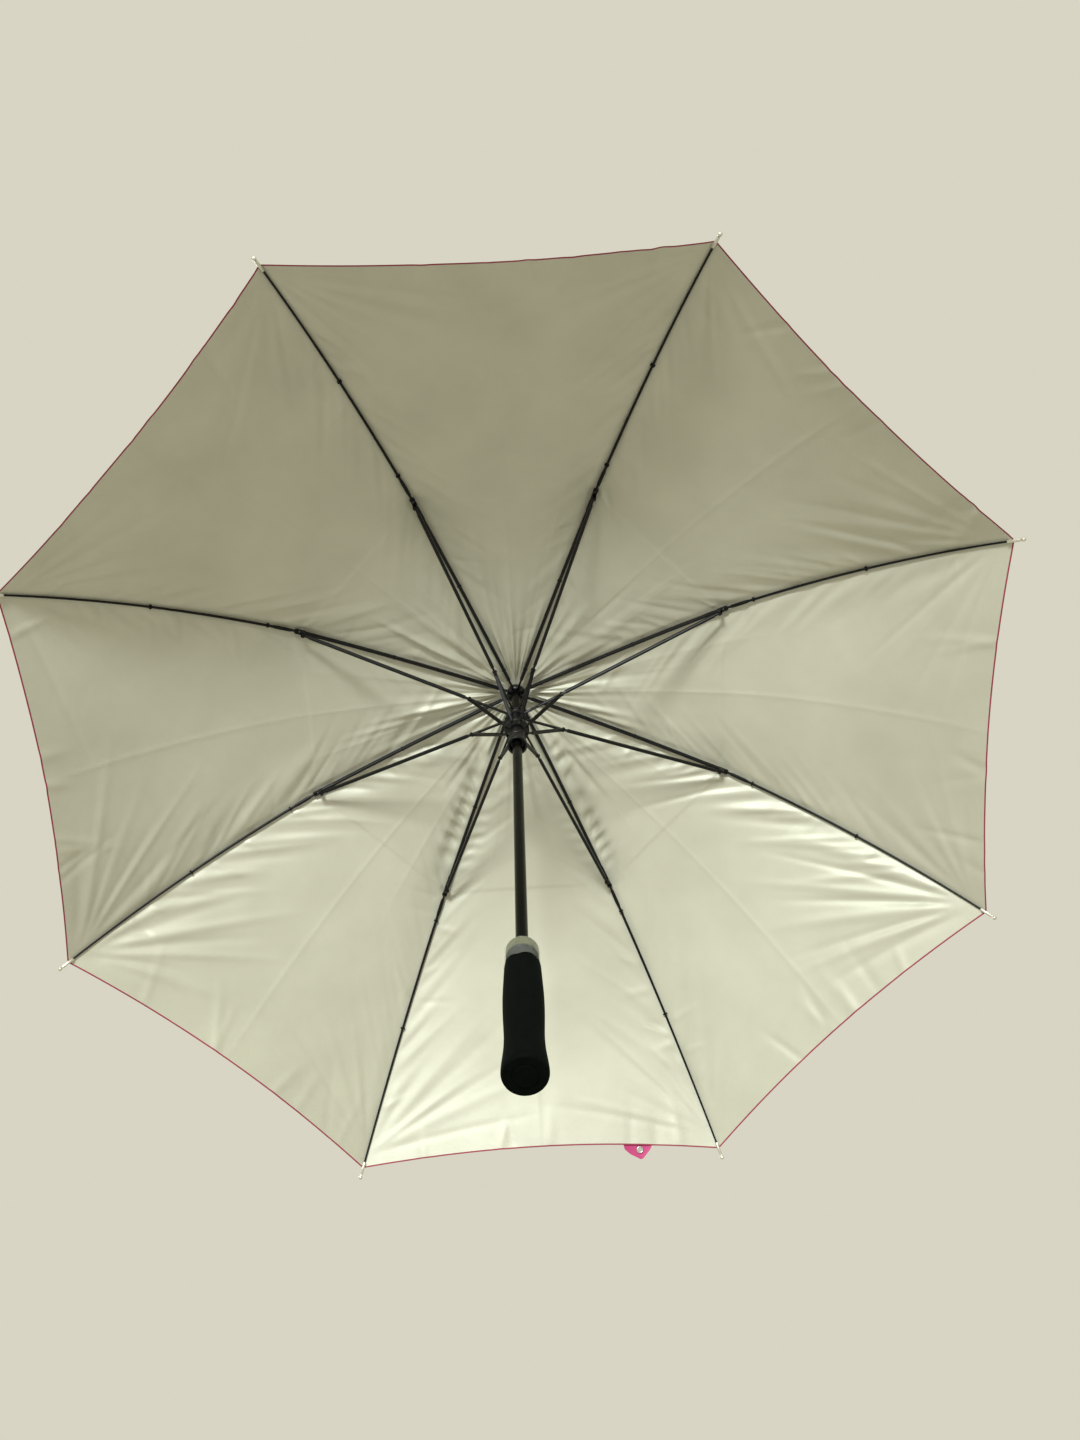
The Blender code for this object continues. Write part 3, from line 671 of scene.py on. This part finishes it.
# ---- ribs ----
def tie(shape, k, at, turns=3):
    """Turns of black thread round the rib, holding the seam."""
    loop_r = 0.0028
    r, z = rib_line(np.array([at]))
    c = np.array([r[0], z[0] + 0.0003])
    a, b = np.array(rib_line(np.array([at - 0.004, at + 0.004]))).T
    t = (b - a) / np.linalg.norm(b - a)
    up = np.array([-t[1], t[0]])
    for turn in range(turns):
        ring = []
        shift = (turn - (turns - 1) / 2) * 0.0007
        for q in range(20):
            ang = 2 * math.pi * q / 20
            ring.append(place(k, c + shift * t + loop_r * math.sin(ang) * up, loop_r * math.cos(ang)))
        shape.sweep(ring, round_section(0.00035, 6), closed=True)


def build_inner_rib(k):
    shape = Shape()
    s = np.linspace(0.02, KNEE * 0.93, 30)
    r, z = rib_line(s)
    shape.sweep([place(k, p) for p in zip(r, z)], channel_section(0.0022, 0.0046, 0.0007))
    crown = np.array([PIVOT_R, 0.0])
    neck = np.array(rib_line(np.array([0.045]))).T[0]
    shape.sweep([place(k, crown), place(k, neck)], box_section(0.0013, 0.0021))
    shape.drum(place(k, crown), side_of(k), 0.0022, 0.0026)
    r, z = rib_line(np.array([KNEE * 0.90, KNEE * 0.91, KNEE * 0.985]))
    shape.sweep([place(k, p) for p in zip(r, z)], round_section([0.0026, 0.0030, 0.0030], 20))
    reach = HINGE - np.array(rib_line(np.array([KNEE * 0.9]))).T[0]
    reach = reach / np.linalg.norm(reach)
    for side in (-0.0022, 0.0022):
        fork = [place(k, HINGE - 0.011 * reach, side), place(k, HINGE, side)]
        shape.sweep(fork, box_section(0.0007, 0.0026))
        ear = [place(k, HINGE - 0.008 * reach, side), place(k, JOINT, side)]
        shape.sweep(ear, box_section(0.0007, 0.0025))
        shape.drum(place(k, HINGE, side), side_of(k), 0.0028, 0.0014)
        shape.drum(place(k, JOINT, side), side_of(k), 0.0026, 0.0014)
    obj = make(f"rib_bar_{k}", shape.points, shape.faces, STEEL, INNER_BODY % k)
    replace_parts(obj, f"rib_{k}")
    pins = Shape()
    for p in (HINGE, JOINT):
        pins.drum(place(k, p), side_of(k), 0.0011, 0.0058, 16)
        for side in (-0.0031, 0.0031):
            pins.drum(place(k, p, side), side_of(k), 0.0016, 0.0006, 16)
    make(f"rib_rivets_{k}", pins.points, pins.faces, STEEL, INNER_BODY % k)
    ties = Shape()
    tie(ties, k, 0.046, 2)
    tie(ties, k, KNEE * 0.55)
    make(f"crown_ties_{k}", ties.points, ties.faces, THREAD, INNER_BODY % k)


def build_outer_rib(k):
    shape = Shape()
    s = np.linspace(KNEE + 0.012, 1.0, 40)
    r, z = rib_line(s)
    taper = np.interp(s, [KNEE, KNEE + 0.1, 1.0], [0.0018, 0.0018, 0.0012])
    shape.sweep([place(k, p) for p in zip(r, z + (0.0018 - taper))], round_section(taper, 14))
    start = np.array(rib_line(np.array([KNEE + 0.016]))).T[0]
    shape.sweep([place(k, HINGE), place(k, start)], box_section(0.0013, 0.0018))
    shape.drum(place(k, HINGE), side_of(k), 0.0024, 0.0026)
    sleeve = rib_line(np.linspace(KNEE + 0.010, KNEE + 0.042, 6))
    radii = [0.0022, 0.0024, 0.0024, 0.0024, 0.0024, 0.0020]
    shape.sweep([place(k, p) for p in zip(*sleeve)], round_section(radii))
    obj = make(f"outer_rod_{k}", shape.points, shape.faces, FIBRE, OUTER_BODY % k)
    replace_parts(obj, f"outer_rib_{k}")
    # metal tip beyond the corner
    a, b = np.array(rib_line(np.array([0.985, 1.0]))).T
    out = (b - a) / np.linalg.norm(b - a)
    stations = [(-0.010, 0.0019), (-0.0094, 0.0021), (0.0050, 0.0021), (0.0062, 0.0016), (0.0078, 0.0016)]
    stations += [(0.0086, 0.0022), (0.0100, 0.0027), (0.0115, 0.0026), (0.0126, 0.0018), (0.0130, 0.0007)]
    tip = Shape()
    tip.sweep([place(k, CORNER + d * out) for d, _ in stations], round_section([r for _, r in stations], 18))
    make(f"rib_tip_{k}", tip.points, tip.faces, NICKEL, OUTER_BODY % k)
    # thread ties that hold the cloth to the rib
    ties = Shape()
    for share in (0.10, 0.50):
        tie(ties, k, KNEE + (1 - KNEE) * share)
    make(f"rib_ties_{k}", ties.points, ties.faces, THREAD, OUTER_BODY % k)


def build_stretcher(k):
    shape = Shape()
    up = JOINT - 0.0085 * ALONG
    root = RUNNER + 0.0075 * ALONG
    bend = LINK_TOP + 0.006 * ALONG
    path = [bend + t * (up - bend) for t in np.linspace(0, 1, 12)]
    shape.sweep([place(k, p) for p in path], channel_section(0.0021, 0.0042, 0.0006))
    shape.sweep([place(k, root), place(k, bend + 0.003 * ALONG)], box_section(0.00115, 0.0027))
    shape.sweep([place(k, RUNNER), place(k, root + 0.002 * ALONG)], box_section(0.0013, 0.0020))
    shape.sweep([place(k, up - 0.002 * ALONG), place(k, JOINT)], box_section(0.0013, 0.0018))
    shape.drum(place(k, RUNNER), side_of(k), 0.0022, 0.0026)
    shape.drum(place(k, JOINT), side_of(k), 0.0022, 0.0026)
    shape.drum(place(k, LINK_TOP), side_of(k), 0.0011, 0.0052, 16)
    for side in (-0.0027, 0.0027):
        shape.drum(place(k, LINK_TOP, side), side_of(k), 0.0017, 0.0006, 16)
    obj = make(f"stretcher_bar_{k}", shape.points, shape.faces, STEEL, f"strut_{k}")
    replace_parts(obj, f"stretcher_{k}")


def build_link(k):
    shape = Shape()
    length = np.linalg.norm(LINK_LOW - LINK_TOP)
    down = (LINK_LOW - LINK_TOP) / length

    def bar(start, end, section, across=0.0, shift=0.0):
        ends = [place(k, LINK_TOP + shift + d * down, across) for d in (start, end)]
        shape.sweep(ends, section)

    for side in (-0.00178, 0.00178):
        bar(0.0, length - 0.010, box_section(0.0005, 0.0013), side)
        shape.drum(place(k, LINK_TOP, side), side_of(k), 0.0021, 0.0010)
    bar(length - 0.0125, length - 0.0095, box_section(0.0023, 0.0014))
    # a thin web joins the two bars along their lower edges
    lower = 0.00105 * np.array([-down[1], down[0]])
    bar(0.008, length - 0.011, box_section(0.0022, 0.00025), shift=lower)
    bar(length - 0.011, length, box_section(0.0012, 0.0015))
    shape.drum(place(k, LINK_LOW), side_of(k), 0.0018, 0.0024)
    obj = make(f"link_bar_{k}", shape.points, shape.faces, STEEL, f"link_unit_{k}")
    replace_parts(obj, f"link_{k}")


# ---- shaft, runner, grip ----
def ring_slots(obj, inner, low, high):
    """Cuts a slot for each rib's bar into a notched ring."""
    x, y = 0.00165, (high - low) / 2
    corners = [(x, y), (-x, y), (-x, -y), (x, -y)]
    middle = (low + high) / 2 - CROWN_Z
    for k in range(1, RIBS + 1):
        shape = Shape()
        shape.sweep([place(k, (inner, middle)), place(k, (0.021, middle))], lambda i: corners)
        mesh = bpy.data.meshes.new("slot")
        mesh.from_pydata([tuple(p) for p in shape.points], [], shape.faces)
        turn_faces_out(mesh)
        cut(obj, new_object("slot", mesh))


def notched(name, profile, radius, z, body, slots):
    """A turned plastic ring with slots, given as (inner radius, lowest z, highest z)."""
    points, faces = lathe(rounded(profile, radius), 96, z)
    obj = make(name, points, faces, PLASTIC, body)
    ring_slots(obj, *slots)
    shade_smooth(obj.data, 35)
    return obj


def build_shaft():
    low, high = 0.014, CROWN_Z + 0.031
    points, faces = lathe([(0.0052, low), (SHAFT_R, low), (SHAFT_R, high), (0.0052, high)])
    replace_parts(make("shaft", points, faces, LACQUER, "frame"), "shaft_tube")


def build_rings():
    z = CROWN_Z
    hub = [(0.0062, -0.006), (0.0105, -0.006), (0.0125, -0.004), (0.0125, 0.0055)]
    hub += [(0.0110, 0.0075), (0.0062, 0.0075)]
    crown = notched("crown_ring", hub, 0.0008, z, "frame", (0.0075, z - 0.010, z + 0.0038))
    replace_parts(crown, "crown_hub")

    bore = SHAFT_R + 0.00008
    base = -0.1035
    body = [(bore, 0.0065), (0.0115, 0.0065), (0.0125, 0.0050), (0.0125, -0.0045), (0.0095, -0.0060)]
    body += [(0.0075, -0.0060), (0.0075, -0.0600), (0.0098, -0.0615), (0.0098, -0.0740), (0.0108, -0.0750)]
    body += [(0.0108, -0.0780), (0.0098, -0.0790), (0.0098, base + 0.014), (0.0125, base + 0.008)]
    body += [(0.0128, base + 0.001), (0.0122, base), (0.0100, base), (0.0100, base + 0.0015)]
    body += [(0.0110, base + 0.002), (0.0110, base + 0.0075), (0.0085, base + 0.0095)]
    body += [(bore, base + 0.0095)]
    z = RUNNER_Z
    runner = notched("runner_tube", body, 0.0005, z, "runner", (0.0075, z - 0.0042, z + 0.012))
    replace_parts(runner, "runner_body")

    ring = [(0.00754, 0.005), (0.0105, 0.005), (0.0162, 0.0025), (0.0162, -0.0035), (0.0105, -0.005)]
    ring += [(0.00754, -0.005)]
    z = RUNNER_Z - SLIDER_DROP
    slider = notched("slider_ring", ring, 0.0007, z, "slider", (0.0110, z - 0.012, z + 0.012))
    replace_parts(slider, "link_slider")


def build_ferrule():
    spike = spline([(0.0105, 0.0005), (0.0105, 0.004), (0.0085, 0.007), (0.0079, 0.018), (0.0075, 0.030),
                    (0.0066, 0.045), (0.0058, 0.060), (0.0050, 0.070), (0.0046, 0.074)], 6)
    spike = [(0.0062, 0.0), (0.0100, 0.0), *spike, (0.0036, 0.0755)]
    spike += [(0.0004, 0.0755), (0.0004, 0.0230), (0.0062, 0.0220)]
    points, faces = lathe(spike, 72, CROWN_Z + 0.0105)
    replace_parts(make("ferrule_spike", points, faces, PLASTIC, "frame"), "ferrule")


def build_grip():
    grip = [(0.0147, 0.1822), (0.0152, 0.1790), (0.0158, 0.172), (0.0163, 0.1655), (0.0167, 0.163)]
    grip += [(0.0169, 0.158), (0.0175, 0.140), (0.0181, 0.120), (0.0182, 0.105), (0.0180, 0.088)]
    grip += [(0.0174, 0.068), (0.0171, 0.054), (0.0174, 0.040), (0.0181, 0.029), (0.0190, 0.019)]
    grip += [(0.0196, 0.011), (0.0198, 0.006), (0.0196, 0.0034), (0.0189, 0.0015), (0.0178, 0.0007)]
    grip += [(0.0150, 0.0005), (0.0116, 0.0004)]
    outer = spline(grip, 6)
    inner = [(0.0110, 0.0006), (0.0110, 0.0090), (0.0093, 0.0090), (0.0093, 0.1822)]
    points, faces = lathe(outer + inner, 96)
    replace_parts(make("grip", points, faces, FOAM, "frame", shade=50), "foam_grip")


# CAD nodes that are shown as they are, in these materials
CARRIED = {
    "crown_wire": STEEL,
    "runner_wire": STEEL,
    "opening_spring": STEEL,
    "top_washer": PLASTIC,
    # collar with its olive tone as a painted reflection
    "grip_core": COLLAR_OLIVE_REFLECTION,
    "butt_cap": FOAM,
    "release_button": BRIGHT,
    "runner_catch": STEEL,
    "button_leaf": BRIGHT,
}


def dress_carried():
    for name, mat in CARRIED.items():
        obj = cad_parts[name]
        obj.data.materials.clear()
        obj.data.materials.append(mat)


def build_film():
    """Crumpled clear film left round the top of the grip and its collar."""
    rows = [(0.0172, 0.1640), (0.0166, 0.1700), (0.0163, 0.1760), (0.0163, 0.1830), (0.0162, 0.1900),
            (0.0158, 0.1945), (0.0140, 0.1980), (0.0108, 0.1995), (0.0080, 0.2002)]
    line = spline(rows, 5)
    rng = np.random.default_rng(7)
    steps = 140
    lobes = []
    for _ in range(10):
        count = int(rng.integers(3, 17))
        lobes.append((count, rng.uniform(0, 6.3), rng.uniform(60, 420), rng.uniform(0.3, 1)))
    points = []
    for shell in (0.0, 0.00015):
        for r, h in line:
            for i in range(steps):
                a = 2 * math.pi * i / steps
                fold = sum(w * math.sin(n * a + p + f * (h - 0.18)) for n, p, f, w in lobes) / 5
                grow = 0.0008 * max(-0.55, fold) * min(1.0, (h - 0.160) / 0.012)
                hem = 0.0012 * math.sin(5 * a + 1) if h < 0.166 else 0.0
                q = r + grow + shell
                points.append((q * math.cos(a), q * math.sin(a), h + hem + 0.0004 * fold))
    n = len(line)
    one_layer = band_faces(n, steps)
    faces = one_layer + [tuple(i + n * steps for i in f) for f in one_layer]
    for j in (0, n - 1):
        for i in range(steps):
            k = (i + 1) % steps
            b = j * steps
            faces.append((b + i, b + k, b + k + n * steps, b + i + n * steps))
    make("grip_film", points, faces, FILM, "frame", shade=60)


# ---- strap ----
STRAP_RIB = 5
STRAP_V = 0.44
STRAP_IN = 0.110
STRAP_OUT = 0.0185
STRAP_THICK = 0.0008


def strap_frame():
    """Where the strap leaves the hem: a point, then the directions along, across and out of the strap."""
    def at(s, v):
        return panel_point(STRAP_RIB, np.array(s), np.array(v / 2))

    here = at(1.0, STRAP_V)
    out = here - at(0.9, STRAP_V)
    out /= np.linalg.norm(out)
    across = at(1.0, STRAP_V + 0.05) - at(1.0, STRAP_V - 0.05)
    across -= np.dot(across, out) * out
    across /= np.linalg.norm(across)
    face = np.cross(out, across)
    if face[2] < 0:
        face = -face
    return here + 0.0032 * face, out, across, face


def build_strap():
    here, out, across, face = strap_frame()
    rows = np.linspace(-STRAP_IN, STRAP_OUT, 60)
    cols = np.linspace(-1, 1, 15)
    half = np.interp(rows, [-STRAP_IN, -0.03, 0.0, 0.009, STRAP_OUT], [0.012, 0.021, 0.021, 0.014, 0.0015])
    lie = rows < 0
    s = np.repeat(1 + rows[lie, None] / 0.665, len(cols), 1)
    w = STRAP_V / 2 + cols[None] * half[lie, None] / (2 * s * CORNER_HALF)
    base = panel_point(STRAP_RIB, s, w)
    off = normals_of(base)
    over = base + (panel_relief(STRAP_RIB, s, w)[..., None] + 0.0016) * off
    points = []
    for lift in (0.0, STRAP_THICK):
        for i, (d, h) in enumerate(zip(rows, half)):
            for j, c in enumerate(cols):
                hem = 0.0003 if abs(c) > 0.86 else 0.0
                thick = lift + hem if lift else -hem
                if d < 0:
                    points.append(over[i, j] + thick * off[i, j])
                    continue
                droop = -0.0012 * (d / 0.024) ** 2 + 0.0006 * math.sin(d * 90) * c - 0.0014
                points.append(here + d * out + c * h * across + (droop + thick) * face)
    n, m = len(rows), len(cols)
    faces = []
    for layer in (0, 1):
        for i in range(n - 1):
            for j in range(m - 1):
                a = layer * n * m + i * m + j
                faces.append((a, a + 1, a + m + 1, a + m))
    for i in range(n - 1):
        for j in (0, m - 1):
            a = i * m + j
            faces.append((a, a + m, a + m + n * m, a + n * m))
    for j in range(m - 1):
        for i in (0, n - 1):
            a = i * m + j
            faces.append((a, a + 1, a + 1 + n * m, a + n * m))
    obj = make("strap_band", points, faces, COVER, OUTER_BODY % STRAP_RIB)
    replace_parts(obj, "tie_strap")
    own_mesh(obj)
    stud = Shape()
    c = here + 0.0062 * out - 0.0012 * face
    ring = []
    for q in range(40):
        ang = 2 * math.pi * q / 40
        ring.append(c - 0.0013 * face + 0.0038 * (math.cos(ang) * out + math.sin(ang) * across))
    stud.sweep(ring, round_section(0.0011, 10), closed=True)
    stud.drum(c - 0.0008 * face, face, 0.0038, 0.0008, 32, 0.0002)
    stud.drum(c, face, 0.0014, 0.0030, 16)
    stud.drum(c + 0.0014 * face, face, 0.0046, 0.0010, 32, 0.0003)
    obj = make("strap_snap", stud.points, stud.faces, BRIGHT, OUTER_BODY % STRAP_RIB)
    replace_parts(obj, "strap_stud")
    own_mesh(obj)


# ---- stage ----
def add_light(name, location, aim, size, power, colour=(1, 1, 1), spread=180):
    """A rectangular light, with its spread in degrees."""
    data = bpy.data.lights.new(name, "AREA")
    data.shape = "RECTANGLE"
    data.size, data.size_y = size
    data.energy = power
    data.spread = math.radians(spread)
    data.color = colour
    light = new_object(name, data)
    light.location = location
    light.rotation_mode = "QUATERNION"
    light.rotation_quaternion = (Vector(aim) - Vector(location)).to_track_quat("-Z", "Y")


def build_stage():
    mesh = bpy.data.meshes.new("floor")
    reach = 8
    corners = [(x * reach, y * reach, FLOOR_Z) for x, y in ((-1, -1), (1, -1), (1, 1), (-1, 1))]
    mesh.from_pydata(corners, [], [(0, 1, 2, 3)])
    floor = new_object("floor", mesh)
    m, _, _, b = new_material("floor_pale")
    b.inputs["Base Color"].default_value = (0.80, 0.80, 0.79, 1)
    b.inputs["Roughness"].default_value = 0.9
    mesh.materials.append(m)
    world = bpy.data.worlds.new("studio")
    world.use_nodes = True
    sky = world.node_tree.nodes["Background"]
    sky.inputs["Color"].default_value = (0.92, 0.885, 0.740, 1)
    sky.inputs["Strength"].default_value = 0.75
    bpy.context.scene.world = world
    add_light("key", (-0.80, -3.52, -0.74), (0.0, 0.1, 0.78), (1.2, 0.7), 23.5, (0.91, 0.97, 1.0), 60)
    add_light("fill_top", (-1.2, 1.0, 3.0), (0, 0, 0.8), (2.5, 2.5), 45)


LENS_MM = 35.006
SENSOR_MM = 36.0
CAMERA_AT = (0.0210, -0.6602, -0.9329)
CAMERA_RIGHT = Vector((0.99853, 0.04844, -0.02428)).normalized()
CAMERA_AHEAD = Vector((0.00528, 0.35886, 0.93338)).normalized()


def build_camera():
    data = bpy.data.cameras.new("camera")
    data.lens = LENS_MM
    data.sensor_fit = "VERTICAL"
    data.sensor_height = SENSOR_MM
    data.sensor_width = SENSOR_MM
    camera = new_object("camera", data)
    right = (CAMERA_RIGHT - CAMERA_RIGHT.dot(CAMERA_AHEAD) * CAMERA_AHEAD).normalized()
    up = right.cross(CAMERA_AHEAD)
    camera.location = CAMERA_AT
    camera.rotation_mode = "QUATERNION"
    camera.rotation_quaternion = Matrix((right, up, -CAMERA_AHEAD)).transposed().to_quaternion()
    bpy.context.scene.camera = camera


for k in range(1, RIBS + 1):
    build_inner_rib(k)
    build_outer_rib(k)
    build_stretcher(k)
    build_link(k)
build_canopy()
build_shaft()
build_rings()
build_ferrule()
build_grip()
dress_carried()
build_film()
build_strap()
build_stage()
build_camera()
bpy.context.scene.view_settings.view_transform = "Standard"
